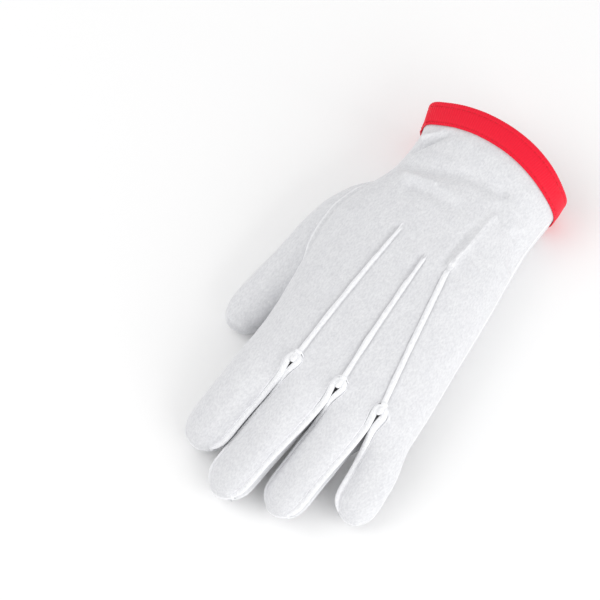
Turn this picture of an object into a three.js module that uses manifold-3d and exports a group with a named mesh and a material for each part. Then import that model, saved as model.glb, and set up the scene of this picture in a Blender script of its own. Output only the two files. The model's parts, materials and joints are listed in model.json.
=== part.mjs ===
// A left-hand dress glove of white brushed cotton, lying palm down on a table and keeping its filled form.
// It is cut and sewn: a back panel with three raised points, a palm panel, a folded strip between each two
// fingers, a set-in thumb and a red ribbon folded over the edge of the cuff. The outer skin of the hand and
// its four stalls is drawn first as one net of faces, each face labelled with its panel. Each panel is then
// given the cloth's thickness, and pulled back from its seams.
// While it is drawn, Y runs from the finger slits (0) to the cuff, X from the thumb side to the little-finger
// side, and Z up from the table. All sizes are in millimetres and all angles in degrees.
import * as THREE from "three";
import { mergeVertices } from "three/addons/utils/BufferGeometryUtils.js";
import Module from "manifold-3d";

const wasm = await Module();
wasm.setup();

// Driving sizes
const PALM_LENGTH = 162;
const PALM_WIDTH = 95;
const HAND_HEIGHT = 42;
const FINGER_LENGTH = 68;
const FINGER_WIDTH = 24;
const FINGER_THICKNESS = 18;
const CLOTH = 1.2;
const SEAM_GAP = 0.3;
const STRIP_GAP = 0.55;
const PALM_SLIT_OFFSET = 6;
const SLIT_RADIUS = 2.9;
const SLIT_NECK = 1;
const NECK_LENGTH = 7;
const STALL_BLEND = 20;
const STALL_EDGE = 0.95;
const WELT_WIDTH = 3;
const WELT_HEIGHT = 1.5;
const SIDE_WELT_HEIGHT = 1.2;
const SEAM_LIP = 1.1;
const RIBBON_WIDTH = 12;
const RIBBON_THICKNESS = 0.9;
const CUFF_SLANT = 1;
const CUFF_CROWN = 6;

// Sections of the hand from the slit line to the cuff's edge. along is a share of the palm's length, left and
// right are shares of its width, and the heights are shares of the hand's height.
const HAND_SECTIONS = [
  { along: 0.0, left: -0.48, right: 0.5, top: 0.93, bottom: 0.2, thumbSeam: 0.6, littleSeam: 0.44 },
  { along: 0.12, left: -0.475, right: 0.485, top: 0.99, bottom: 0.14, thumbSeam: 0.62, littleSeam: 0.42 },
  { along: 0.3, left: -0.505, right: 0.455, top: 1.0, bottom: 0.03, thumbSeam: 0.64, littleSeam: 0.42 },
  { along: 0.5, left: -0.55, right: 0.425, top: 0.99, bottom: -0.05, thumbSeam: 0.64, littleSeam: 0.42 },
  { along: 0.62, left: -0.51, right: 0.4, top: 0.98, bottom: -0.08, thumbSeam: 0.62, littleSeam: 0.42 },
  { along: 0.75, left: -0.43, right: 0.38, top: 0.98, bottom: -0.08, thumbSeam: 0.58, littleSeam: 0.44 },
  { along: 0.88, left: -0.42, right: 0.385, top: 1.01, bottom: -0.06, thumbSeam: 0.64, littleSeam: 0.46 },
  { along: 1.0, left: -0.46, right: 0.37, top: 1.1, bottom: -0.04, thumbSeam: 0.78, littleSeam: 0.48 },
];

// The three slits between the fingers and the raised points above them: where the slit's end lies across the
// palm's width, where the point's far end lies, and how far up the palm's length the point reaches.
const SLITS = [
  { name: "index_middle", root: -0.2, far: -0.17, reach: 0.53 },
  { name: "middle_ring", root: 0.07, far: 0.028, reach: 0.48 },
  { name: "ring_little", root: 0.314, far: 0.166, reach: 0.485 },
];

// The stalls: length from the slit line to the tip, width and thickness as shares of the finger sizes,
// heading away from the hand's axis at the root and tip (towards the thumb is plus), height of the middle at
// the root as a share of the hand's height, and how far the stall is rolled towards its tip (the
// little-finger side up is plus).
const STALL_SHARES = [
  { name: "index", length: 0.765, width: 1.04, thickness: 0.97, root: 14, tip: 3, rise: 0.62, roll: 9 },
  { name: "middle", length: 1, width: 1, thickness: 1, root: 13, tip: 5, rise: 0.64, roll: 16 },
  { name: "ring", length: 0.897, width: 0.94, thickness: 0.97, root: 11, tip: 3, rise: 0.62, roll: 14 },
  { name: "little", length: 0.647, width: 0.855, thickness: 0.86, root: 1, tip: -2, rise: 0.54, roll: -8 },
];
const STALLS = STALL_SHARES.map((share) => ({
  ...share,
  length: share.length * FINGER_LENGTH,
  width: share.width * FINGER_WIDTH,
  thickness: share.thickness * FINGER_THICKNESS,
}));

// The thumb's sections from inside the hand to the tip: middle as shares of the palm's width and length and
// of the hand's height, and width and thickness as shares of the thumb's own.
const THUMB_WIDTH = 25;
const THUMB_THICKNESS = 21;
const THUMB_SECTIONS = [
  { x: -0.3, y: 0.7, z: 0.42, width: 1.0, thickness: 0.9 },
  { x: -0.44, y: 0.6, z: 0.4, width: 1.35, thickness: 1.05 },
  { x: -0.525, y: 0.49, z: 0.38, width: 1.3, thickness: 1.05 },
  { x: -0.56, y: 0.37, z: 0.35, width: 1.05, thickness: 1.0 },
  { x: -0.595, y: 0.27, z: 0.3, width: 1.0, thickness: 0.96 },
  { x: -0.63, y: 0.18, z: 0.245, width: 0.97, thickness: 0.9 },
  { x: -0.645, y: 0.125, z: 0.22, width: 0.88, thickness: 0.8 },
  { x: -0.65, y: 0.09, z: 0.205, width: 0.7, thickness: 0.66 },
  { x: -0.65, y: 0.07, z: 0.2, width: 0.48, thickness: 0.48 },
];

// The thumb is rounded off this far past its last section, and its inside starts this far inside the hand.
const THUMB_TIP = 1.5;
const THUMB_LEAD = 6;

// Fineness of the net
const STALL_COLUMNS = 6;
const SLIT_COLUMNS = 4;
const SIDE_ROWS = 4;
const CUFF_ROWS = 5;
const PALM_ROWS = 8;
const HAND_ROWS = 3 + CUFF_ROWS + PALM_ROWS;
const BLEND_STEPS = [0.15, 0.35, 0.62, 1];
const STALL_ROWS = 3;
const TIP_STEPS = [0.4, 0.7, 0.9, 1];
const HEADING_STEPS = 24;
const THUMB_SIDES = 16;
const RIBBON_LAP_STEPS = 2;

// Roundness of the sections: 2 is an ellipse, and more is squarer.
const BACK_ROUNDNESS = 2.3;
const PALM_ROUNDNESS = 2.7;
const STALL_ROUNDNESS = 2.3;

// Form of the raised points: the length over which the far end comes up out of the back, the height above
// the slit line at which the near end stops, in radii of the slit, and how full the rounding is.
const POINT_END = 3;
const POINT_START = 1.6;
const POINT_FULLNESS = 0.7;

// Form of the stalls. The tip's length and how much it bulges are shares of the stall's width. The width
// that is left at the tip, how late it narrows, how fast the stall comes down to the table, how much thicker
// its root is and how fast that thickening and the roll change along it have no unit.
const TIP_LENGTH = 0.52;
const TIP_BULGE = 0.1;
const TIP_WIDTH_LEFT = 0.52;
const TIP_NARROWING = 2.6;
const DROOP = 1.2;
const ROOT_THICKENING = 0.28;
const THICKENING_PACE = 1.4;
const ROLL_PACE = 1.3;

// How the panels are fitted to each other: how upright a strip stands where its lip ends, the most that a
// mitre is lengthened, and the flattest and steepest way in which a panel meets a strip.
const LIP_UPRIGHT = 1.6;
const MITRE_LIMIT = 0.5;
const MEETING_LIMIT = 0.5;

const WHITE = new THREE.MeshStandardMaterial({ color: 0xf1f1ef, roughness: 0.95, metalness: 0 });
const RED = new THREE.MeshStandardMaterial({ color: 0xd8122f, roughness: 0.75, metalness: 0 });

const radians = THREE.MathUtils.degToRad;
const lerp = THREE.MathUtils.lerp;
const clamp = THREE.MathUtils.clamp;
const smooth = (value) => THREE.MathUtils.smoothstep(value, 0, 1);
const vector = (x, y, z) => new THREE.Vector3(x, y, z);
const power = (value, exponent) => Math.sign(value) * Math.abs(value) ** exponent;

// A smooth value of one column of a table, at a place along it.
function sample(table, key, column, place) {
  const last = table.length - 1;
  const at = (index) => table[clamp(index, 0, last)];
  let index = 0;
  while (index < last - 1 && place > at(index + 1)[key]) {
    index += 1;
  }
  const span = at(index + 1)[key] - at(index)[key];
  const slope = (from, to) => (at(to)[column] - at(from)[column]) / (at(to)[key] - at(from)[key]);
  const startSlope = index > 0 ? slope(index - 1, index + 1) : slope(0, 1);
  const endSlope = index + 2 <= last ? slope(index, index + 2) : slope(index, index + 1);
  const t = (place - at(index)[key]) / span;
  if (t < 0) {
    return at(index)[column] + startSlope * t * span;
  }
  const start = at(index)[column] * (1 + 2 * t) * (1 - t) ** 2 + startSlope * span * t * (1 - t) ** 2;
  const end = at(index + 1)[column] * (3 - 2 * t) * t ** 2 + endSlope * span * (t - 1) * t ** 2;
  return start + end;
}

// The hand's skin
function handSection(y) {
  const along = y / PALM_LENGTH;
  const value = (column) => sample(HAND_SECTIONS, "along", column, along);
  const left = value("left") * PALM_WIDTH;
  const right = value("right") * PALM_WIDTH;
  return {
    middle: (left + right) / 2,
    half: (right - left) / 2,
    top: value("top") * HAND_HEIGHT,
    bottom: value("bottom") * HAND_HEIGHT,
    seams: [value("thumbSeam") * HAND_HEIGHT, value("littleSeam") * HAND_HEIGHT],
  };
}

// The palm lies flat on the table, and near the cuff on the ribbon under it.
function tableClearance(y) {
  const liftLength = 4 * RIBBON_WIDTH;
  const nearCuff = 1 - (PALM_LENGTH - y) / liftLength;
  return (RIBBON_THICKNESS + SEAM_GAP) * smooth(2 * nearCuff);
}

function handPoint(onBack, across, y) {
  const section = handSection(y);
  const roundness = onBack ? BACK_ROUNDNESS : PALM_ROUNDNESS;
  const turn = (across * Math.PI) / 2;
  const x = section.middle + section.half * power(Math.sin(turn), 2 / roundness);
  const seam = lerp(section.seams[0], section.seams[1], smooth((across + 1) / 2));
  const crest = onBack ? section.top : section.bottom;
  const z = seam + (crest - seam) * power(Math.max(Math.cos(turn), 0), 2 / roundness);
  return vector(x, y, Math.max(z, tableClearance(y)));
}

// How far round the section, from -1 to 1, a place across the palm lies.
function acrossOf(x, y, onBack) {
  const section = handSection(y);
  const roundness = onBack ? BACK_ROUNDNESS : PALM_ROUNDNESS;
  const share = clamp((x - section.middle) / section.half, -1, 1);
  return (Math.asin(power(share, roundness / 2)) * 2) / Math.PI;
}

function slitX(slit, y) {
  const climb = clamp(y / (slit.reach * PALM_LENGTH), 0, 1);
  return lerp(slit.root, slit.far, climb) * PALM_WIDTH;
}

// The cuff's edge runs back a little towards both sides, and further on the little-finger side.
function cuffEdge(x) {
  const section = handSection(PALM_LENGTH);
  const share = (x - section.middle) / section.half;
  return PALM_LENGTH - CUFF_CROWN * share ** 2 - CUFF_SLANT * share;
}

// The stalls' skin
function stallFrame(stall, root, distance) {
  const position = root.clone();
  const climb = stall.thickness / 2 - root.z;
  for (let i = 0; i < HEADING_STEPS; i += 1) {
    const done = (((i + 0.5) / HEADING_STEPS) * distance) / stall.length;
    const heading = radians(lerp(stall.root, stall.tip, done));
    position.x -= (Math.sin(heading) * distance) / HEADING_STEPS;
    position.y -= (Math.cos(heading) * distance) / HEADING_STEPS;
  }
  const share = clamp(distance / stall.length, 0, 1);
  position.z = root.z + climb * (1 - (1 - share) ** DROOP);
  const heading = radians(lerp(stall.root, stall.tip, share));
  const slope = ((climb * DROOP) / stall.length) * (1 - share) ** (DROOP - 1);
  const forward = vector(-Math.sin(heading), -Math.cos(heading), slope).normalize();
  const across = vector(Math.cos(heading), -Math.sin(heading), 0);
  const up = across.clone().cross(forward).negate();
  if (up.z < 0) {
    up.negate();
  }
  const roll = radians(stall.roll * smooth(share * ROLL_PACE));
  const rolledAcross = across.clone().multiplyScalar(Math.cos(roll)).addScaledVector(up, Math.sin(roll));
  const rolledUp = up.clone().multiplyScalar(Math.cos(roll)).addScaledVector(across, -Math.sin(roll));
  return { position, forward, across: rolledAcross, up: rolledUp };
}

// A point of a stall's skin, turn being the angle round it: 0 at the little-finger side and 90 on top.
function stallPoint(stall, root, distance, tip, turn) {
  const frame = stallFrame(stall, root, distance);
  const narrow = 1 - (1 - TIP_WIDTH_LEFT) * tip ** TIP_NARROWING;
  const taper = 1 + ROOT_THICKENING * (1 - smooth((THICKENING_PACE * distance) / stall.length));
  const thin = taper * Math.sqrt(Math.max(1 - tip ** 2, 0));
  const side = power(Math.cos(turn), 2 / STALL_ROUNDNESS);
  const rise = power(Math.sin(turn), 2 / STALL_ROUNDNESS);
  const bulge = tip * TIP_BULGE * stall.width * (1 - side ** 2);
  return frame.position
    .clone()
    .addScaledVector(frame.across, (side * narrow * stall.width) / 2)
    .addScaledVector(frame.up, (rise * thin * stall.thickness) / 2)
    .addScaledVector(frame.forward, bulge);
}

// The net: every point is shared by the faces that meet there.
const faces = [];
const point = (place, extra = {}) => ({ place, raise: 0, ...extra });

function addFace(panel, corners) {
  const kept = corners.filter((corner, index) => corner !== corners[(index + 1) % corners.length]);
  if (kept.length >= 3) {
    faces.push({ panel, corners: kept });
  }
}

// Faces of a grid of points, wound so that they look outwards when flip is false.
function addGrid(panel, grid, flip) {
  for (let row = 0; row + 1 < grid.length; row += 1) {
    for (let column = 0; column + 1 < grid[row].length; column += 1) {
      const corners = [
        grid[row][column],
        grid[row + 1][column],
        grid[row + 1][column + 1],
        grid[row][column + 1],
      ];
      const label = typeof panel === "function" ? panel(row, column) : panel;
      addFace(label, flip ? corners.reverse() : corners);
    }
  }
}

const COLUMNS = STALL_COLUMNS * STALLS.length + SLIT_COLUMNS * SLITS.length;
const COLUMN_STEP = STALL_COLUMNS + SLIT_COLUMNS;
const LAP_START = COLUMNS - 1;
const WELT_PLACE = 0.6;
const WELT_SHARE = (WELT_PLACE * WELT_WIDTH) / STALLS[0].width;
const columnStart = (stallIndex) => stallIndex * COLUMN_STEP;

// How far across its stall a column lies. The first column on the back keeps close to the thumb-side seam.
function columnShare(column, stallIndex, onBack) {
  if (stallIndex > 0 || !onBack || column === 0) {
    return column / STALL_COLUMNS;
  }
  return lerp(WELT_SHARE, 1, (column - 1) / (STALL_COLUMNS - 1));
}

// Where each column of the net lies across a panel, at a height y above the slits.
function columnPlaces(onBack, y, halfWidth) {
  const places = [];
  const slitEdge = (index, side) => {
    if (index < 0) {
      return -1;
    }
    if (index >= SLITS.length) {
      return 1;
    }
    return acrossOf(slitX(SLITS[index], y) + side * halfWidth, y, onBack);
  };
  STALLS.forEach((stall, index) => {
    const start = slitEdge(index - 1, 1);
    const end = slitEdge(index, -1);
    for (let i = 0; i <= STALL_COLUMNS; i += 1) {
      places.push(lerp(start, end, columnShare(i, index, onBack)));
    }
    if (index < SLITS.length) {
      const next = slitEdge(index, 1);
      for (let i = 1; i < SLIT_COLUMNS; i += 1) {
        const swing = (1 - Math.cos((Math.PI * i) / SLIT_COLUMNS)) / 2;
        places.push(lerp(end, next, swing));
      }
    }
  });
  return places;
}

// Height above the slits of a column in a row, so that one row runs through the far ends of the points.
function reachAt(column) {
  const centres = SLITS.map((slit, index) => columnStart(index) + STALL_COLUMNS + SLIT_COLUMNS / 2);
  if (column <= centres[0]) {
    return SLITS[0].reach;
  }
  for (let i = 1; i < SLITS.length; i += 1) {
    if (column <= centres[i]) {
      const share = (column - centres[i - 1]) / (centres[i] - centres[i - 1]);
      return lerp(SLITS[i - 1].reach, SLITS[i].reach, share);
    }
  }
  return SLITS[SLITS.length - 1].reach;
}

function rowHeight(row, column, x) {
  const edge = cuffEdge(x);
  const reach = reachAt(column) * PALM_LENGTH;
  if (row === 0) {
    return edge;
  }
  if (row <= 1 + CUFF_ROWS) {
    return lerp(edge - RIBBON_WIDTH, reach + POINT_END, (row - 1) / CUFF_ROWS);
  }
  if (row === HAND_ROWS - 1) {
    return 0;
  }
  return lerp(reach, POINT_START * SLIT_RADIUS, (row - 2 - CUFF_ROWS) / (PALM_ROWS - 1));
}

// How far a slit column stands above the slit line, on the round end of its slit.
function slitArch(column) {
  const inStep = (column % COLUMN_STEP) - STALL_COLUMNS;
  if (inStep <= 0) {
    return 0;
  }
  return SLIT_RADIUS * Math.sin((Math.PI * inStep) / SLIT_COLUMNS);
}

// How far a palm row is carried on towards the fingers, from nothing at the side seams.
function palmShift(column, share) {
  const fromSide = Math.min(column, COLUMNS - column) / STALL_COLUMNS;
  return PALM_SLIT_OFFSET * smooth(fromSide) * share ** 2;
}

function handGrid(onBack) {
  const grid = [];
  for (let row = 0; row < HAND_ROWS; row += 1) {
    const line = [];
    const upShare = clamp((row - 2 - CUFF_ROWS) / PALM_ROWS, 0, 1);
    const atSlit = row === HAND_ROWS - 1;
    for (let column = 0; column <= COLUMNS; column += 1) {
      const guess = rowHeight(row, column, 0);
      const halfWidth = atSlit ? SLIT_RADIUS : WELT_WIDTH / 2;
      let across = columnPlaces(onBack, guess, halfWidth)[column];
      let y = rowHeight(row, column, handPoint(onBack, across, guess).x);
      y += atSlit ? slitArch(column) : 0;
      if (!onBack) {
        y -= palmShift(column, upShare);
      }
      across = columnPlaces(onBack, y, halfWidth)[column];
      const inStep = (column % COLUMN_STEP) - STALL_COLUMNS;
      const onPoint = onBack && inStep > 0 && row >= 2 + CUFF_ROWS && !atSlit;
      const crest = onPoint ? Math.sin((Math.PI * inStep) / SLIT_COLUMNS) ** POINT_FULLNESS : 0;
      line.push(point(handPoint(onBack, across, y), { raise: crest * WELT_HEIGHT }));
    }
    grid.push(line);
  }
  return grid;
}

const backHand = handGrid(true);
const palmHand = handGrid(false);
for (let row = 0; row < HAND_ROWS; row += 1) {
  palmHand[row][0] = backHand[row][0];
  palmHand[row][COLUMNS] = backHand[row][COLUMNS];
}
backHand.slice(2).forEach((line) => {
  line[0].raise = SIDE_WELT_HEIGHT;
});
addGrid("back_panel", backHand, false);
addGrid("palm_panel", palmHand, true);

const EDGE_TURN = Math.acos(STALL_EDGE ** (STALL_ROUNDNESS / 2));

// Distances from the slit line and shares of the tip's rounding for each row of a stall.
function stallRows(stall) {
  const tipStart = stall.length - TIP_LENGTH * stall.width;
  const rows = BLEND_STEPS.map((share) => ({ distance: share * STALL_BLEND, tip: 0 }));
  for (let i = 1; i <= STALL_ROWS; i += 1) {
    rows.push({ distance: lerp(STALL_BLEND, tipStart, i / STALL_ROWS), tip: 0 });
  }
  TIP_STEPS.forEach((tip) => {
    rows.push({ distance: tipStart + (stall.length - tipStart) * tip, tip });
  });
  return rows;
}

// A stall's columns on the slit line, with the slit's edges as far apart as they are further down the stall.
function rootLine(onBack, stallIndex, distance) {
  const halfWidth = lerp(SLIT_RADIUS, SLIT_NECK, smooth(distance / NECK_LENGTH));
  const first = columnStart(stallIndex);
  const line = [];
  for (let column = first; column <= first + STALL_COLUMNS; column += 1) {
    const y = onBack ? 0 : -palmShift(column, 1);
    const across = columnPlaces(onBack, y, halfWidth)[column];
    line.push(handPoint(onBack, across, y));
  }
  return line;
}

// A stall's middle lies between its two slits, or half its width from its only one.
function stallRootX(stallIndex) {
  const thumbSide = SLITS[stallIndex - 1];
  const littleSide = SLITS[stallIndex];
  const reach = SLIT_NECK + STALLS[stallIndex].width / 2;
  if (!thumbSide) {
    return slitX(littleSide, 0) - reach;
  }
  if (!littleSide) {
    return slitX(thumbSide, 0) + reach;
  }
  return (slitX(thumbSide, 0) + slitX(littleSide, 0)) / 2;
}

// The strips between the fingers end just before the tips, where back and palm meet each other.
const STRIP_END = BLEND_STEPS.length + STALL_ROWS + TIP_STEPS.length - 1;

const stalls = STALLS.map((stall, index) => {
  const first = columnStart(index);
  const last = HAND_ROWS - 1;
  const backRoot = backHand[last].slice(first, first + STALL_COLUMNS + 1);
  const palmRoot = palmHand[last].slice(first, first + STALL_COLUMNS + 1);
  const root = vector(stallRootX(index), 0, stall.rise * HAND_HEIGHT);
  const outerThumb = index === 0;
  const outerLittle = index === STALLS.length - 1;
  const from = Math.PI - (outerThumb ? 0 : EDGE_TURN);
  const to = outerLittle ? 0 : EDGE_TURN;
  const back = [backRoot];
  const palm = [palmRoot];
  const rows = stallRows(stall);
  rows.forEach(({ distance, tip }, rowIndex) => {
    const blend = smooth(distance / STALL_BLEND);
    const carried = stallFrame(stall, root, distance).position.sub(root);
    const isLast = rowIndex === rows.length - 1;
    const lineOf = (line, sign) =>
      line.map((place, i) => {
        const turn = sign * lerp(from, to, columnShare(i, index, sign > 0));
        const own = stallPoint(stall, root, distance, tip, turn);
        return point(place.clone().add(carried).lerp(own, blend));
      });
    const backLine = lineOf(rootLine(true, index, distance), 1);
    const palmLine = isLast ? backLine : lineOf(rootLine(false, index, distance), -1);
    if (outerThumb) {
      palmLine[0] = backLine[0];
    }
    if (outerLittle) {
      palmLine[STALL_COLUMNS] = backLine[STALL_COLUMNS];
    }
    back.push(backLine);
    palm.push(palmLine);
  });
  const sideGrid = (column, onThumbSide) =>
    back.map((backLine, rowIndex) => {
      const start = backLine[column];
      const end = palm[rowIndex][column];
      const line = [start];
      for (let i = 1; i < SIDE_ROWS; i += 1) {
        if (start === end) {
          line.push(start);
        } else {
          const straight = start.place.clone().lerp(end.place, i / SIDE_ROWS);
          const { distance, tip } = rowIndex > 0 ? rows[rowIndex - 1] : { distance: 0, tip: 0 };
          const swing = lerp(EDGE_TURN, -EDGE_TURN, i / SIDE_ROWS);
          const turn = onThumbSide ? Math.PI - swing : swing;
          const own = stallPoint(stall, root, distance, tip, turn);
          line.push(point(straight.lerp(own, smooth(distance / STALL_BLEND))));
        }
      }
      line.push(end);
      return line;
    });
  const thumbSide = outerThumb ? null : sideGrid(0, true);
  const littleSide = outerLittle ? null : sideGrid(STALL_COLUMNS, false);
  addGrid("back_panel", back, false);
  addGrid("palm_panel", palm, true);
  if (outerThumb) {
    back.slice(0, STRIP_END + 1).forEach((line) => {
      line[0].raise = SIDE_WELT_HEIGHT;
    });
  }
  return { thumbSide, littleSide };
});

const halfLabel = (row, column) => (column < SIDE_ROWS / 2 ? "back_panel" : "palm_panel");

SLITS.forEach((slit, index) => {
  const fore = stalls[index].littleSide;
  const next = stalls[index + 1].thumbSide;
  const arch = [];
  for (let i = 1; i < SLIT_COLUMNS; i += 1) {
    const column = columnStart(index) + STALL_COLUMNS + i;
    const start = backHand[HAND_ROWS - 1][column];
    const end = palmHand[HAND_ROWS - 1][column];
    const line = [start];
    for (let k = 1; k < SIDE_ROWS; k += 1) {
      line.push(point(start.place.clone().lerp(end.place, k / SIDE_ROWS)));
    }
    line.push(end);
    arch.push(line);
  }
  const strip = [
    ...fore.slice(0, STRIP_END + 1).reverse(),
    ...arch,
    ...next.slice(0, STRIP_END + 1),
  ];
  strip.forEach((line, row) => {
    const isEnd = row === 0 || row === strip.length - 1;
    line[0].butts = true;
    line[0].lip = isEnd ? 0 : SEAM_LIP;
    line[SIDE_ROWS].butts = true;
  });
  addGrid(`fourchette_${slit.name}`, strip, true);
  addGrid(halfLabel, fore.slice(STRIP_END), false);
  addGrid(halfLabel, next.slice(STRIP_END), true);
});

// Thickening of the panels
function faceNormal(corners) {
  const normal = vector(0, 0, 0);
  corners.forEach((corner, i) => {
    const next = corners[(i + 1) % corners.length].place;
    normal.x += (corner.place.y - next.y) * (corner.place.z + next.z);
    normal.y += (corner.place.z - next.z) * (corner.place.x + next.x);
    normal.z += (corner.place.x - next.x) * (corner.place.y + next.y);
  });
  return normal;
}

// Each point learns, for each panel that meets there, that panel's normal and the way to the panel's inside.
faces.forEach(({ panel, corners }) => {
  const normal = faceNormal(corners);
  const centre = vector(0, 0, 0);
  corners.forEach((corner) => centre.addScaledVector(corner.place, 1 / corners.length));
  corners.forEach((corner) => {
    corner.panels ??= {};
    corner.panels[panel] ??= { normal: vector(0, 0, 0), inside: vector(0, 0, 0) };
    corner.panels[panel].normal.add(normal);
    corner.panels[panel].inside.add(centre.clone().sub(corner.place));
  });
});

function sharedNormal(corner) {
  const normal = vector(0, 0, 0);
  Object.values(corner.panels).forEach((panel) => normal.add(panel.normal.clone().normalize()));
  return normal.normalize();
}

// How far a panel's edge is pulled back from a strip's outer face, so that it clears the strip's thickness.
function clearance(normal, stripNormal) {
  const level = clamp(normal.dot(stripNormal.clone().normalize()), -MEETING_LIMIT, 1);
  const slope = Math.max(Math.sqrt(1 - level ** 2), MEETING_LIMIT);
  return Math.max((CLOTH * (1 - level) + STRIP_GAP) / slope, CLOTH * slope + STRIP_GAP);
}

// The outer and inner place of a point in one of its panels. Two panels whose edges meet are mitred. A strip
// between two fingers stands up past the panel's edge, which is pulled back to clear its thickness.
function thicken(corner, panel) {
  const own = corner.panels[panel];
  const normal = own.normal.clone().normalize();
  const others = Object.keys(corner.panels).filter((name) => name !== panel);
  const outer = corner.place.clone();
  const inner = corner.place.clone();
  if (others.length === 0) {
    outer.addScaledVector(normal, corner.raise);
    inner.addScaledVector(normal, -CLOTH);
    return { outer, inner };
  }
  if (corner.butts && panel.startsWith("fourchette")) {
    const lift = corner.lip ? corner.panels.back_panel.normal.clone().normalize() : vector(0, 0, 0);
    const lip = corner.lip ? corner.lip * smooth(1 - LIP_UPRIGHT * lift.dot(normal)) : 0;
    outer.addScaledVector(lift, lip);
    inner.addScaledVector(normal, -CLOTH).addScaledVector(lift, lip);
    return { outer, inner };
  }
  if (corner.butts) {
    const strip = corner.panels[others.find((name) => name.startsWith("fourchette"))];
    const away = strip.normal.clone().normalize().negate();
    away.addScaledVector(normal, -away.dot(normal)).normalize();
    const pull = clearance(normal, strip.normal);
    outer.addScaledVector(away, pull);
    inner.addScaledVector(away, pull).addScaledVector(normal, -CLOTH);
    return { outer, inner };
  }
  const away = own.inside.clone().normalize();
  others.forEach((name) => away.addScaledVector(corner.panels[name].inside.clone().normalize(), -1));
  away.addScaledVector(normal, -away.dot(normal)).normalize();
  const mitre = sharedNormal(corner);
  const slant = Math.max(mitre.dot(normal), MITRE_LIMIT);
  outer.addScaledVector(mitre, corner.raise).addScaledVector(away, SEAM_GAP / 2 / slant);
  inner.addScaledVector(mitre, -CLOTH / slant).addScaledVector(away, SEAM_GAP / 2 / slant);
  return { outer, inner };
}

function solidFrom(places, triangles) {
  const vertProperties = new Float32Array(places.length * 3);
  places.forEach((place, i) => place.toArray(vertProperties, i * 3));
  const mesh = new wasm.Mesh({ numProp: 3, vertProperties, triVerts: new Uint32Array(triangles) });
  return new wasm.Manifold(mesh);
}

function geometryOf(places, triangles) {
  const geometry = new THREE.BufferGeometry();
  geometry.setAttribute("position", new THREE.Float32BufferAttribute(places.flatMap((p) => p.toArray()), 3));
  geometry.setIndex(triangles);
  return geometry;
}

// A quad is cut along its shorter diagonal.
function addPolygon(triangles, places, corners) {
  const kept = corners.filter((corner, i) => corner !== corners[(i + 1) % corners.length]);
  if (kept.length < 3) {
    return;
  }
  if (kept.length === 3) {
    triangles.push(...kept);
    return;
  }
  const [a, b, c, d] = kept;
  if (places[a].distanceTo(places[c]) <= places[b].distanceTo(places[d])) {
    triangles.push(a, b, c, a, c, d);
  } else {
    triangles.push(a, b, d, b, c, d);
  }
}

function panelSolid(panel) {
  const places = [];
  const triangles = [];
  const indices = new Map();
  const indexOf = (corner) => {
    if (!indices.has(corner)) {
      const { outer, inner } = thicken(corner, panel);
      indices.set(corner, places.length);
      places.push(outer, inner);
    }
    return indices.get(corner);
  };
  const own = faces.filter((face) => face.panel === panel);
  const edges = new Map();
  own.forEach(({ corners }) => {
    const outer = corners.map(indexOf);
    addPolygon(triangles, places, outer);
    addPolygon(triangles, places, outer.map((i) => i + 1).reverse());
    outer.forEach((start, i) => {
      const end = outer[(i + 1) % outer.length];
      if (!edges.delete(`${end} ${start}`)) {
        edges.set(`${start} ${end}`, [start, end]);
      }
    });
  });
  edges.forEach(([start, end]) => {
    addPolygon(triangles, places, [end, start, start + 1, end + 1]);
  });
  return { places, triangles };
}

// The whole hand filled in, grown by the seam gap, which trims what is sewn on to it.
function filledHand() {
  const places = [];
  const triangles = [];
  const indices = new Map();
  const indexOf = (corner) => {
    if (!indices.has(corner)) {
      indices.set(corner, places.length);
      places.push(corner.place.clone().addScaledVector(sharedNormal(corner), corner.raise + SEAM_GAP));
    }
    return indices.get(corner);
  };
  faces.forEach(({ corners }) => addPolygon(triangles, places, corners.map(indexOf)));
  const rim = [...backHand[0].map(indexOf), ...palmHand[0].slice(1, -1).map(indexOf).reverse()];
  const centre = places.length;
  places.push(vector(0, PALM_LENGTH, HAND_HEIGHT / 2));
  rim.forEach((start, i) => {
    triangles.push(start, rim[(i + 1) % rim.length], centre);
  });
  return solidFrom(places, triangles);
}

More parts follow.
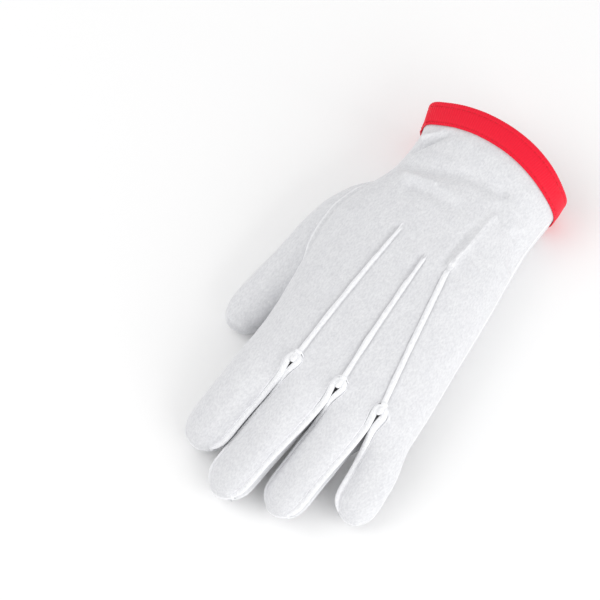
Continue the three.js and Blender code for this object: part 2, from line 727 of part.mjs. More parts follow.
// The thumb
function thumbLoft(inset, lead) {
  const places = [];
  const triangles = [];
  const centres = THUMB_SECTIONS.map((section) =>
    vector(section.x * PALM_WIDTH, section.y * PALM_LENGTH, section.z * HAND_HEIGHT),
  );
  const last = THUMB_SECTIONS.length - 1;
  THUMB_SECTIONS.forEach((section, row) => {
    const forward = centres[Math.min(row + 1, last)].clone().sub(centres[Math.max(row - 1, 0)]).normalize();
    const across = vector(-forward.y, forward.x, 0).normalize();
    const up = forward.clone().cross(across).negate();
    const centre = centres[row].clone();
    if (row === 0) {
      centre.addScaledVector(forward, -lead);
    }
    const halfWidth = (section.width * THUMB_WIDTH) / 2 - inset;
    const halfThickness = (section.thickness * THUMB_THICKNESS) / 2 - inset;
    for (let i = 0; i < THUMB_SIDES; i += 1) {
      const turn = (2 * Math.PI * i) / THUMB_SIDES;
      const place = centre
        .clone()
        .addScaledVector(across, halfWidth * power(Math.cos(turn), 2 / STALL_ROUNDNESS))
        .addScaledVector(up, halfThickness * power(Math.sin(turn), 2 / STALL_ROUNDNESS));
      place.z = Math.max(place.z, inset);
      places.push(place);
    }
    if (row > 0) {
      for (let i = 0; i < THUMB_SIDES; i += 1) {
        const next = (i + 1) % THUMB_SIDES;
        const base = row * THUMB_SIDES;
        const corners = [base + i, base + next, base - THUMB_SIDES + next, base - THUMB_SIDES + i];
        addPolygon(triangles, places, corners);
      }
    }
  });
  const start = places.length;
  places.push(centres[0].clone().addScaledVector(centres[1].clone().sub(centres[0]).normalize(), -lead));
  const tipWay = centres[last].clone().sub(centres[last - 1]).normalize();
  places.push(centres[last].clone().addScaledVector(tipWay, THUMB_TIP - inset));
  for (let i = 0; i < THUMB_SIDES; i += 1) {
    const next = (i + 1) % THUMB_SIDES;
    triangles.push(i, next, start);
    triangles.push(last * THUMB_SIDES + next, last * THUMB_SIDES + i, start + 1);
  }
  return solidFrom(places, triangles);
}

function largest(solid) {
  const pieces = solid.decompose();
  return pieces.reduce((best, piece) => (piece.volume() > best.volume() ? piece : best));
}

function geometryOfSolid(solid) {
  const mesh = solid.getMesh();
  const geometry = new THREE.BufferGeometry();
  geometry.setAttribute("position", new THREE.BufferAttribute(mesh.vertProperties, 3));
  geometry.setIndex(new THREE.BufferAttribute(mesh.triVerts, 1));
  return mergeVertices(geometry);
}

const thumbOuter = thumbLoft(0, 0);
const thumbInner = thumbLoft(CLOTH, THUMB_LEAD);
const thumb = largest(thumbOuter.subtract(thumbInner).subtract(filledHand()));
const palm = panelSolid("palm_panel");
const back = panelSolid("back_panel");
const palmSolid = largest(solidFrom(palm.places, palm.triangles).subtract(thumbInner));

// The ribbon folded over the cuff's edge. Its end laps over its start on the little-finger side.
function cuffStation(column, onBack, along) {
  const row = along === 0 ? 0 : 1;
  const corner = (onBack ? backHand : palmHand)[row][column];
  return { place: corner.place, normal: sharedNormal(corner) };
}

function ribbonSolid() {
  const ring = [];
  for (let column = 0; column <= COLUMNS; column += 1) {
    ring.push({ column, onBack: true });
  }
  for (let column = COLUMNS - 1; column > 0; column -= 1) {
    ring.push({ column, onBack: false });
  }
  const stations = [];
  for (let i = 0; i <= ring.length + RIBBON_LAP_STEPS; i += 1) {
    const { column, onBack } = ring[(i + LAP_START) % ring.length];
    const edge = cuffStation(column, onBack, 0);
    const foot = cuffStation(column, onBack, 1);
    stations.push({ edge, foot, lap: i >= ring.length });
  }
  const places = [];
  const triangles = [];
  stations.forEach(({ edge, foot, lap }) => {
    const clear = SEAM_GAP + (lap ? RIBBON_THICKNESS + SEAM_GAP : 0);
    const full = clear + RIBBON_THICKNESS;
    const beyond = edge.place.clone().sub(foot.place).normalize();
    const at = (end, outwards, up) =>
      end.place.clone().addScaledVector(end.normal, outwards).addScaledVector(beyond, up);
    places.push(
      at(foot, full, 0),
      at(edge, full, full),
      at(edge, -CLOTH - full, full),
      at(foot, -CLOTH - full, 0),
      at(foot, -CLOTH - clear, 0),
      at(edge, -CLOTH - clear, clear),
      at(edge, clear, clear),
      at(foot, clear, 0),
    );
  });
  const sides = 8;
  for (let row = 0; row + 1 < stations.length; row += 1) {
    for (let i = 0; i < sides; i += 1) {
      const next = (i + 1) % sides;
      const base = row * sides;
      addPolygon(triangles, places, [base + i, base + sides + i, base + sides + next, base + next]);
    }
  }
  const capStart = [[0, 7, 6, 1], [1, 6, 5, 2], [2, 5, 4, 3]];
  const end = (stations.length - 1) * sides;
  capStart.forEach((corners) => {
    addPolygon(triangles, places, [...corners].reverse());
    addPolygon(triangles, places, corners.map((i) => i + end));
  });
  return { places, triangles };
}

// The glove
const glove = new THREE.Group();
const inner = new THREE.Group();
glove.add(inner);

function addPiece(name, geometry, material) {
  const mesh = new THREE.Mesh(geometry, material);
  mesh.name = name;
  inner.add(mesh);
}

addPiece("back_panel", geometryOf(back.places, back.triangles), WHITE);
addPiece("palm_panel", geometryOfSolid(palmSolid), WHITE);
SLITS.forEach((slit) => {
  const strip = panelSolid(`fourchette_${slit.name}`);
  addPiece(`fourchette_${slit.name}`, geometryOf(strip.places, strip.triangles), WHITE);
});
addPiece("thumb", geometryOfSolid(thumb), WHITE);
const ribbon = ribbonSolid();
addPiece("cuff_ribbon", geometryOf(ribbon.places, ribbon.triangles), RED);

// The origin is the middle of the whole glove's footprint, on the table.
const bounds = new THREE.Box3().setFromObject(inner);
const middle = bounds.getCenter(vector(0, 0, 0));
inner.position.set(-middle.x, -middle.y, -bounds.min.z);

export default glove;
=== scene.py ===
"""A dress glove of white brushed cotton with a red ribbon cuff: its looks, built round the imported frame.

Each cotton piece starts as the outer skin of its node. The skin is refined, its seams are rolled and
puckered, its folds are pressed in, and the cloth then gets its thickness. The ribbon is swept round the
cuff's edge. Lengths in the panels and tables are in millimetres unless a name says otherwise."""

import json
import math

import bmesh
import bpy
from mathutils import Matrix, Vector, noise
from mathutils.bvhtree import BVHTree
from mathutils.kdtree import KDTree

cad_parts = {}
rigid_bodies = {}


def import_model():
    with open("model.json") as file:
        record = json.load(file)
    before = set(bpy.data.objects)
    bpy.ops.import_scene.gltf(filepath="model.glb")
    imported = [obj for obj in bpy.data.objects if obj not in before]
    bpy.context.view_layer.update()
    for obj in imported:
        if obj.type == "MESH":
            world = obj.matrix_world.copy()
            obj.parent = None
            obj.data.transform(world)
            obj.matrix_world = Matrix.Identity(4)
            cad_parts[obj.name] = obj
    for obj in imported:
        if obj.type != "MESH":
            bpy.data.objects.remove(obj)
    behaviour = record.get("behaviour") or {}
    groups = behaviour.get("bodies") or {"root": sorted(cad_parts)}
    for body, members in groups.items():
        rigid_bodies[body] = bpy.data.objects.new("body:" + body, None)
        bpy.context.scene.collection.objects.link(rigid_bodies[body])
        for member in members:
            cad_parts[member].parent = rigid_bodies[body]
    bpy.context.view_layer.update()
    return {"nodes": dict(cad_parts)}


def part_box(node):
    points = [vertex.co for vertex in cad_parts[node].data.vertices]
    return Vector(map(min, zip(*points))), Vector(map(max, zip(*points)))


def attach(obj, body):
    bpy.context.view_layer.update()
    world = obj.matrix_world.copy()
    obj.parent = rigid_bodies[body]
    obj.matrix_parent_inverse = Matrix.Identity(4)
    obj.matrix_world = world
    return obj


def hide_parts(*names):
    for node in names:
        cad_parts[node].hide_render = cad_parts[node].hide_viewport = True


bl_info = {
    "name": "White dress glove",
    "version": (1, 0, 0),
    "blender": (4, 5, 0),
    "location": "View3D > Sidebar > Glove",
    "description": "Makes a left-hand dress glove of brushed cotton with a ribbon cuff",
    "category": "Add Mesh",
}

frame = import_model()

MM = 0.001
FOURCHETTES = ("fourchette_index_middle", "fourchette_middle_ring", "fourchette_ring_little")
WHITE_SLOT = "white_cotton"
RED_SLOT = "red_ribbon"
BODY = "root"

# How a node's outer skin is told from its other faces
MERGE = 0.001 * MM
WALL_REACH = 6 * MM
WALL_FACING = -0.3
SKIN_BEND = math.radians(80)
SKIN_BEND_NEAR_THUMB = math.radians(40)
NEAR_THUMB = 4 * MM
THUMB_CUT_REACH = 0.7 * MM
JOIN_BEND = math.radians(40)
JOIN_SHAPE = math.radians(70)
PROBE_START = 0.05 * MM
SIDE_FACING = 0.05
RIM_FACING = 0.7
RIM_MARK = 0.9

# How finely a skin is divided, and how an inward bend is kept sharp
LONGEST_EDGE = 6 * MM
LEVELS = 2
VALLEY_BEND = math.radians(30)
VALLEY_CREASE = 0.9

# The cloth rests on the floor at this height
LOWEST = 0.05 * MM

# What lies nearer the cuff than this is the cuff's own edge, which is under the ribbon
CUFF_FROM = 93 * MM

# Folds and dents of the cloth, seen from above: the places that each runs through, its half width, and its
# height at the first and the last place (plus stands out, minus is pressed in).
FOLDS = (
    ("pleat below the ribbon", ((-27, 86), (-22, 91), (-15, 98)), 1.6, -3.9, -1.0),
    ("lip of the pleat", ((-25, 93), (-19, 98)), 2.2, 1.8, 0.7),
    ("valley round the wrist", ((-24, 75), (-15, 77), (-5, 79), (7, 83.5), (25, 85)), 4.0, -1.9, -2.5),
    ("swell above it", ((-6, 97), (6, 97), (22, 96), (36, 91)), 4.5, 0.9, 0.7),
    ("ridge under it", ((-20, 68), (-7, 70), (8, 70.5)), 3.0, 2.2, 0.8),
    ("second valley", ((-14, 64), (-3, 64.5), (12, 64)), 2.8, -1.9, -0.6),
    ("dent by the wrist", ((29, 78), (33, 74)), 3.2, -1.4, -0.8),
    ("fold above the third point", ((25.9, 36.8), (26.8, 48), (27.5, 60), (28, 72)), 2.1, 1.8, 0.8),
    ("shade beside that fold", ((22.6, 37), (22.6, 50), (23, 60)), 2.2, -0.6, -0.6),
    ("dent on the little finger's side", ((42, 71), (46.5, 61)), 3, -2.2, -1.3),
    ("hollow beside the first point", ((-8, 22), (-7.5, 39)), 2.2, -0.5, -0.9),
    ("hollow beside the second point", ((11.5, 18), (12, 33)), 2, -0.6, -0.8),
)
FOLD_REACH = 2.4
FOLD_START = 2 * MM

# Thickness of each strip's rolled seam, on the side of the thumb and of the little finger. Then how far the
# roll turns, how flat it is, how it thins out towards the fingertips, and how near the back its edge lies.
ROLL_SIDES = {
    "fourchette_index_middle": (1.25, 0.85),
    "fourchette_middle_ring": (1.3, 0.9),
    "fourchette_ring_little": (1.3, 1.3),
}
ROLL_TURN = math.radians(230)
ROLL_FLATNESS = 0.75
ROLL_STEPS = 8
ROLL_TAPER = 12 * MM
ROLL_THINNEST = 0.3
ROLL_NEAR_BACK = 2.6 * MM
STRIP_THICKNESS_SHARE = 0.6

# The raised seam on the thumb's side of the back: where it starts and ends, its radius, how much it stands up
# and over what width, how it thins out, and how it is rolled
WELT_X = -30 * MM
WELT_Y = (4 * MM, 64 * MM)
WELT_RADIUS = 1.6 * MM
WELT_RAISE = 1.5 * MM
WELT_HALF_WIDTH = 1.5 * MM
WELT_TAPER = 12 * MM
WELT_TURN = math.radians(200)
WELT_FLATNESS = 0.9
WELT_STEPS = 7

# The corners into which the cuff is pressed on the thumb's and the little finger's side: the place of each
# in x and z, which way and how far it stands out, and its reach. Then where they start.
CORNERS = (
    (Vector((-31, 36)) * MM, Vector((-2.4, 0, 0.24)) * MM, 5.5 * MM),
    (Vector((47, 22)) * MM, Vector((1.6, 0, -0.5)) * MM, 7 * MM),
)
CORNER_FROM = 88 * MM
CORNER_LENGTH = 14 * MM

# How a sewn edge turns down into its seam
SEAM_RADIUS = 0.5 * MM
SEAM_TURN = math.radians(80)
SEAM_STEPS = 2

# The radius of bend at which painted crease shade and ridge highlight are strongest, and how that is evened
# out
SHADE_BEND_RADIUS = 1.1 * MM
SHADE_SHORTEST_EDGE = 0.2 * MM
SHADE_SMOOTHING = 2

# How far from the cuff's edge the cloth lies flat under the ribbon
STILL_UNDER_RIBBON = 11.5 * MM
STILL_EASE = 3 * MM

# The cloth's slow unevenness: size of the waves, height, and how far from a seam it starts
WAVE_SIZE = 14 * MM
WAVE_HEIGHT = 0.32 * MM
WAVE_START = 5 * MM
PUCKER_SIZE = 2.6 * MM
PUCKER_REACH = 3 * MM
PUCKER_START = 0.8 * MM

# The ribbon's section: places across its outside from the lower edge up, how it bulges, where its two rows of
# stitches run, its ribs, its lap and its slight waviness. All in millimetres.
RIBBON_ACROSS = (
    (0, 0.25, 0.6, 1.0, 1.3, 1.6, 1.9, 2.2, 3.2) + (4.6, 6.0, 7.4, 8.6, 9.2, 9.5, 9.8, 10.1, 10.6, 11.2)
)
RIBBON_BULGE = 0.25
STITCH_ROWS = (1.6, 9.8)
STITCH_GROOVE = 0.3
STITCH_GROOVE_WIDTH = 0.35
STITCH_PITCH = 3.1
STITCH_LENGTH = 2.2
STITCH_WIDTH = 0.42
FOLD_STEPS = 8
INSIDE_STEPS = 6
RIB_PITCH = 1.3
RIB_HEIGHT = 0.1
STATIONS_A_RIB = 4
LAP_MM = 12
LAP_RAMP_MM = 3
LAP_OVER = 0.75
RIBBON_CLOTH = 0.45
RIBBON_OUT = 1.0
RIBBON_IN = -1.9
RIBBON_WAVE = 0.18
RIBBON_WAVE_LENGTH = 17
RIBBON_WAVE_ROWS = 9
STITCH_RAISE = -0.08
RIM_STEPS = 180
RING_SMOOTHING = 60
FOOT_SMOOTHING = 40

# The knot of cloth inside each loop between two fingers, and the foot in which the raised point meets the
# loop: lengths across, along and up, how far back from the loop's end it lies, and how far down.
NUB = ((3.2, 5.4, 2.8), 3.5, 0.9)
POINT_FOOT = ((3.8, 2.6, 2.6), 0.0, 0.5)
NUB_ABOVE = 25 * MM
LOOP_LENGTH = 5 * MM
NUB_GRAIN = 1.1 * MM
NUB_ROUGHNESS = 0.2 * MM

# Camera and light. The picture is square.
PICTURE_WIDTH_MM = 294
AZIMUTH = 34
ELEVATION = 61
LOOK_RIGHT_MM = -30.9
LOOK_UP_MM = 16.6
LENS = 220
SENSOR = 36
LAMP_DISTANCE = 1.5
FLOOR_SIZE = 4
STARTUP_OBJECTS = ("Cube", "Light", "Camera")


class GloveCloth(bpy.types.PropertyGroup):
    """Sizes and colour of the white cotton."""

    thickness: bpy.props.FloatProperty(
        name="Thickness", description="Thickness of the cotton", default=0.0009, unit="LENGTH", precision=4
    )
    roll: bpy.props.FloatProperty(
        name="Rolled edge", description="Radius of a rolled seam edge", default=0.00125, unit="LENGTH",
        precision=4,
    )
    pucker: bpy.props.FloatProperty(
        name="Pucker", description="Height of the small waves along the seams", default=0.00018,
        unit="LENGTH", precision=5,
    )
    colour: bpy.props.FloatVectorProperty(
        name="Colour", description="Colour of the cotton", default=(0.965, 0.97, 0.985), size=3,
        subtype="COLOR", min=0, max=1,
    )


class GloveRibbon(bpy.types.PropertyGroup):
    """Sizes and colour of the ribbon round the cuff."""

    width: bpy.props.FloatProperty(
        name="Width", description="Height of the ribbon on the cuff's outside", default=0.0115, unit="LENGTH",
        precision=4,
    )
    colour: bpy.props.FloatVectorProperty(
        name="Colour", description="Colour of the ribbon", default=(0.93, 0.006, 0.032), size=3,
        subtype="COLOR", min=0, max=1,
    )


class GloveStage(bpy.types.PropertyGroup):
    """Colour of the floor and strength of the lights."""

    floor: bpy.props.FloatVectorProperty(
        name="Floor", description="Colour of the floor", default=(0.97, 0.97, 0.97), size=3, subtype="COLOR",
        min=0, max=1,
    )
    key: bpy.props.FloatProperty(
        name="Key light", description="Power of the key light", default=12, unit="POWER"
    )
    fill: bpy.props.FloatProperty(
        name="Fill light", description="Power of the fill light", default=6, unit="POWER"
    )
    sky: bpy.props.FloatProperty(name="Sky", description="Strength of the light from all round", default=0.73)


def smooth(value):
    """An even step from 0 to 1."""
    value = min(max(value, 0.0), 1.0)
    return value * value * (3 - 2 * value)


def node_mesh(name):
    """A node's mesh with its doubles merged and its triangles joined into quads."""
    bm = bmesh.new()
    bm.from_mesh(frame["nodes"][name].data)
    bmesh.ops.remove_doubles(bm, verts=bm.verts, dist=MERGE)
    bmesh.ops.join_triangles(
        bm, faces=bm.faces, angle_face_threshold=JOIN_BEND, angle_shape_threshold=JOIN_SHAPE
    )
    bm.normal_update()
    return bm


def node_tree(name):
    """A search tree of a node's faces."""
    bm = node_mesh(name)
    tree = BVHTree.FromBMesh(bm)
    bm.free()
    return tree


def spread(seed, allowed, bend_of):
    """The faces that a walk from the seed reaches, inside the allowed faces and over no sharp edge."""
    found = {seed}
    stack = [seed]
    while stack:
        face = stack.pop()
        for edge in face.edges:
            for other in edge.link_faces:
                if other not in allowed or other in found:
                    continue
                if face.normal.angle(other.normal) < bend_of(edge):
                    found.add(other)
                    stack.append(other)
    return found


def close_up(skin, bm):
    """Adds the faces that lie between faces of the skin."""
    grown = True
    while grown:
        grown = False
        for face in bm.faces:
            if face in skin:
                continue
            beside = [
                other
                for edge in face.edges
                for other in edge.link_faces
                if other in skin and other.normal.dot(face.normal) > SIDE_FACING
            ]
            if len(beside) >= 2:
                skin.add(face)
                grown = True


def keep_only(bm, skin, cuff_from):
    """Deletes all but the skin, and marks its vertices on the cuff's edge."""
    rim = bm.verts.layers.float.new("rim")
    for face in bm.faces:
        if face not in skin and face.normal.y > RIM_FACING and face.calc_center_median().y > cuff_from:
            for edge in face.edges:
                if any(other in skin for other in edge.link_faces):
                    for vert in edge.verts:
                        vert[rim] = 1
    bmesh.ops.delete(bm, geom=[face for face in bm.faces if face not in skin], context="FACES")
    bm.normal_update()


def wall_skin(name, seed_place):
    """The outer skin of a panel or strip, whose faces have cloth and an inner face behind them."""
    bm = node_mesh(name)
    tree = BVHTree.FromBMesh(bm)
    thumb = node_tree("thumb")
    walls = set()
    for face in bm.faces:
        start = face.calc_center_median() - face.normal * PROBE_START
        spot, normal, _, _ = tree.ray_cast(start, -face.normal, WALL_REACH)
        if spot is not None and normal.dot(face.normal) < WALL_FACING:
            walls.add(face)
    by_thumb = {v: name == "palm_panel" and thumb.find_nearest(v.co)[3] < NEAR_THUMB for v in bm.verts}

    def bend_of(edge):
        return SKIN_BEND_NEAR_THUMB if any(by_thumb[v] for v in edge.verts) else SKIN_BEND

    seed = min(walls, key=lambda face: (face.calc_center_median() - seed_place).length)
    skin = spread(seed, walls, bend_of)
    close_up(skin, bm)
    keep_only(bm, skin, CUFF_FROM)
    return bm


def thumb_skin():
    """The thumb's outer skin: what is left without its cut edge and its inside."""
    bm = node_mesh("thumb")
    hand = [node_tree("palm_panel"), node_tree("back_panel")]
    near = {v: min(tree.find_nearest(v.co)[3] for tree in hand) for v in bm.verts}
    cut = {face for face in bm.faces if all(near[v] < THUMB_CUT_REACH for v in face.verts)}
    seed = min(bm.faces, key=lambda face: face.calc_center_median().x)
    skin = spread(seed, set(bm.faces) - cut, lambda edge: math.pi)
    keep_only(bm, skin, math.inf)
    return bm


def split_long_quads(bm):
    """Cuts rows of long faces in two, each row as a whole."""
    marked = {edge for edge in bm.edges if edge.calc_length() > LONGEST_EDGE}
    grown = True
    while grown:
        grown = False
        for face in bm.faces:
            if len(face.verts) != 4:
                continue
            for i in (0, 1):
                pair = {face.loops[i].edge, face.loops[i + 2].edge}
                if len(pair & marked) == 1:
                    marked |= pair
                    grown = True
    bmesh.ops.subdivide_edges(bm, edges=list(marked), cuts=1, use_grid_fill=True)


def crease_valleys(bm):
    """Keeps the edges sharp where the skin folds inwards."""
    crease = bm.edges.layers.float.get("crease_edge") or bm.edges.layers.float.new("crease_edge")
    for edge in bm.edges:
        if len(edge.link_faces) == 2 and not edge.is_convex and edge.calc_face_angle(0) > VALLEY_BEND:
            edge[crease] = VALLEY_CREASE


def refined(name, bm):
    """An object of the skin, subdivided."""
    mesh = bpy.data.meshes.new(name)
    bm.to_mesh(mesh)
    bm.free()
    piece = bpy.data.objects.new(name, mesh)
    bpy.context.scene.collection.objects.link(piece)
    modifier = piece.modifiers.new("rounding", "SUBSURF")
    modifier.levels = modifier.render_levels = LEVELS
    modifier.boundary_smooth = "PRESERVE_CORNERS"
    bpy.context.view_layer.update()
    shown = piece.evaluated_get(bpy.context.evaluated_depsgraph_get())
    fine = bpy.data.meshes.new_from_object(shown)
    piece.modifiers.clear()
    piece.data = fine
    bpy.data.meshes.remove(mesh)
    fine.name = name
    return piece


def edge_tree(piece):
    """A search tree of the vertices on a skin's open edges."""
    bm = bmesh.new()
    bm.from_mesh(piece.data)
    places = [vert.co.copy() for vert in bm.verts if vert.is_boundary]
    bm.free()
    tree = KDTree(len(places))
    for i, place in enumerate(places):
        tree.insert(place, i)
    tree.balance()
    return tree


def chains(edges):
    """Runs of edges that follow each other, as lists of vertices."""
    left = set(edges)
    found = []
    while left:
        ends = [v for e in left for v in e.verts if sum(o in left for o in v.link_edges) == 1]
        vert = ends[0] if ends else next(iter(left)).verts[0]
        run = [vert]
        step = next((e for e in vert.link_edges if e in left), None)
        while step is not None:
            left.discard(step)
            vert = step.other_vert(vert)
            run.append(vert)
            step = next((e for e in vert.link_edges if e in left), None)
        found.append(run)
    return found


def roll_edge(bm, edges, radius, turn, flatness, steps, taper, sides=(1, 1)):
    """Rolls an open edge of a skin over itself, as a seam allowance is rolled and stitched down.

    The roll is thinner towards its ends over the taper. Its size is multiplied by the first of sides on the
    thumb's side, and by the second on the little finger's side, and changes over round the middle."""
    bm.normal_update()
    ways = {}
    for run in chains(edges):
        if run[0].co.x > run[-1].co.x:
            run.reverse()
        lengths = [0.0]
        for before, after in zip(run, run[1:]):
            lengths.append(lengths[-1] + (after.co - before.co).length)
        for i, vert in enumerate(run):
            along = (run[min(i + 1, len(run) - 1)].co - run[max(i - 1, 0)].co).normalized()
            inside = Vector()
            for face in vert.link_faces:
                inside += face.calc_center_median() - vert.co
            out = vert.normal.copy()
            out = (out - along * out.dot(along)).normalized()
            up = along.cross(out)
            if up.dot(inside) > 0:
                up.negate()
            size = radius * (sides[0] + (sides[1] - sides[0]) * smooth(4 * lengths[i] / lengths[-1] - 1.5))
            if taper:
                full = smooth(min(lengths[i], lengths[-1] - lengths[i]) / taper)
                size *= ROLL_THINNEST + (1 - ROLL_THINNEST) * full
            ways[vert] = (vert.co.copy(), out, up, size)
    current = list(edges)
    for step in range(1, steps + 1):
        angle = turn * step / steps
        made = bmesh.ops.extrude_edge_only(bm, edges=current)["geom"]
        fresh = {g for g in made if isinstance(g, bmesh.types.BMVert)}
        current = [g for g in made if isinstance(g, bmesh.types.BMEdge) and set(g.verts) <= fresh]
        for vert in fresh:
            parent = next(e.other_vert(vert) for e in vert.link_edges if e.other_vert(vert) not in fresh)
            place, out, up, size = ways[parent]
            lift = math.sin(angle) * flatness
            vert.co = place + out * size * (math.cos(angle) - 1) + up * size * lift
            ways[vert] = ways[parent]
    bm.normal_update()


def turn_down(bm, edges):
    """Turns open edges down into their seam."""
    roll_edge(bm, edges, SEAM_RADIUS, SEAM_TURN, 1, SEAM_STEPS, 0)


def lip_edges(bm):
    """The open edges of a skin that are sewn to another piece."""
    return [e for e in bm.edges if e.is_boundary and min(v.co.y for v in e.verts) < CUFF_FROM]


def sew_in(piece):
    """Turns a skin's sewn edges down into the seam."""
    bm = bmesh.new()
    bm.from_mesh(piece.data)
    turn_down(bm, lip_edges(bm))
    bm.to_mesh(piece.data)
    bm.free()


def roll_welt(piece):
    """Raises and rolls the seam on the thumb's side of the back, and turns the other sewn edges down."""
    bm = bmesh.new()
    bm.from_mesh(piece.data)
    bm.normal_update()
    lips = lip_edges(bm)
    welt = [
        e for e in lips if all(v.co.x < WELT_X and WELT_Y[0] < v.co.y < WELT_Y[1] for v in e.verts)
    ]
    line = {v for e in welt for v in e.verts}
    tree = KDTree(len(line))
    for i, vert in enumerate(line):
        tree.insert(vert.co, i)
    tree.balance()
    for vert in bm.verts:
        distance = tree.find(vert.co)[2]
        ends = min(vert.co.y - WELT_Y[0], WELT_Y[1] - vert.co.y) / WELT_TAPER
        vert.co += vert.normal * WELT_RAISE * math.exp(-((distance / WELT_HALF_WIDTH) ** 2)) * smooth(ends)
    turn_down(bm, [e for e in lips if e not in set(welt)])
    roll_edge(bm, welt, WELT_RADIUS, WELT_TURN, WELT_FLATNESS, WELT_STEPS, WELT_TAPER)
    bm.to_mesh(piece.data)
    bm.free()


def mark_shade_and_highlight(piece):
    """Stores how hollow or raised each place is, for painted shade in creases and painted highlight on
    ridges.
    """
    bm = bmesh.new()
    bm.from_mesh(piece.data)
    bm.normal_update()
    hollow = {}
    for vert in bm.verts:
        bend = 0.0
        for edge in vert.link_edges:
            way = edge.other_vert(vert).co - vert.co
            bend += vert.normal.dot(way) / max(way.length_squared, SHADE_SHORTEST_EDGE**2)
        hollow[vert] = bend / max(len(vert.link_edges), 1)
    for _ in range(SHADE_SMOOTHING):
        around = {v: sum(hollow[e.other_vert(v)] for e in v.link_edges) / len(v.link_edges) for v in hollow}
        hollow = {vert: 0.5 * value + 0.5 * around[vert] for vert, value in hollow.items()}
    values = [min(max(0.5 + hollow[vert] * SHADE_BEND_RADIUS, 0.0), 1.0) for vert in bm.verts]
    bm.free()
    layer = piece.data.attributes.new("hollow", "FLOAT", "POINT")
    layer.data.foreach_set("value", values)


def run_distance(place, run):
    """How far a place is from a run of places, and how far along the run that is, from 0 to 1."""
    best, share = math.inf, 0.0
    total = sum((after - before).length for before, after in zip(run, run[1:]))
    passed = 0.0
    for before, after in zip(run, run[1:]):
        step = after - before
        part = min(max((place - before).dot(step) / step.length_squared, 0.0), 1.0)
        distance = (before + step * part - place).length
        if distance < best:
            best, share = distance, (passed + part * step.length) / total
        passed += step.length
    return best, share


def fold_height(co):
    """How far the folds move a place of the back panel out or in."""
    place = Vector((co.x, co.y)) / MM
    height = 0.0
    for _, run, width, first, last in FOLDS:
        distance, share = run_distance(place, [Vector(spot) for spot in run])
        if distance < FOLD_REACH * width:
            height += (first + (last - first) * share) * math.exp(-((distance / width) ** 2))
    return height * MM


def corner_move(co):
    """How far the pressed corners of the cuff move a place."""
    move = Vector()
    for corner, way, reach in CORNERS:
        move += way * math.exp(-(((Vector((co.x, co.z)) - corner).length / reach) ** 2))
    return move * smooth((co.y - CORNER_FROM) / CORNER_LENGTH)


def shape_cloth(piece, folded):
    """Presses the folds, the slow waves and the seams' puckers into a skin."""
    pucker = bpy.context.scene.glove_cloth.pucker
    seams = edge_tree(piece)
    edge_y = max(vert.co.y for vert in piece.data.vertices)
    bm = bmesh.new()
    bm.from_mesh(piece.data)
    bm.normal_update()
    rim = bm.verts.layers.float["rim"]
    cuff = KDTree(len(bm.verts))
    for vert in bm.verts:
        if vert[rim] > RIM_MARK:
            cuff.insert(vert.co, vert.index)
    cuff.balance()
    moves = []
    for vert in bm.verts:
        from_seam = seams.find(vert.co)[2]
        from_cuff = cuff.find(vert.co)[2] if edge_y > CUFF_FROM else math.inf
        height = fold_height(vert.co) * smooth(from_seam / FOLD_START) if folded else 0.0
        slow = noise.noise(vert.co / WAVE_SIZE)
        slow += 0.5 * noise.noise(vert.co / WAVE_SIZE * 2.1 + Vector((3, 1, 7)))
        height += WAVE_HEIGHT * slow * smooth(from_seam / WAVE_START)
        near = math.exp(-((from_seam / PUCKER_REACH) ** 2)) * smooth(from_seam / PUCKER_START)
        height += pucker * near * noise.noise(vert.co / PUCKER_SIZE)
        height *= smooth((from_cuff - STILL_UNDER_RIBBON) / STILL_EASE)
        moves.append(vert.normal * height + corner_move(vert.co))
    for vert, move in zip(bm.verts, moves):
        vert.co += move
        vert.co.z = max(vert.co.z, LOWEST)
    bm.to_mesh(piece.data)
    bm.free()


def thicken(piece, thickness):
    """Gives the skin the cloth's thickness, inwards."""
    modifier = piece.modifiers.new("thickness", "SOLIDIFY")
    modifier.thickness = thickness
    modifier.offset = -1
    modifier.use_even_offset = False


def dress(piece, material, slot, *nodes):
    """Smooths and paints the piece, attaches it to the body and hides the nodes that it stands for."""
    piece.data.materials.clear()
    piece.data.materials.append(material)
    for polygon in piece.data.polygons:
        polygon.use_smooth = True
    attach(piece, BODY)
    if nodes:
        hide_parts(*nodes)


def add_ramp(tree, first, last, *between):
    """A shader's colour ramp. Each stop is a position and a colour."""
    made = tree.nodes.new("ShaderNodeValToRGB")
    stops = made.color_ramp.elements
    stops[0].position, stops[0].color = first
    stops[1].position, stops[1].color = last
    for position, colour in between:
        stops.new(position).color = colour
    return made


def add_node(tree, kind, values=None, **settings):
    """A shader node with its settings and the values of its inputs."""
    made = tree.nodes.new(kind)
    for key, value in settings.items():
        setattr(made, key, value)
    for key, value in (values or {}).items():
        made.inputs[key].default_value = value
    return made


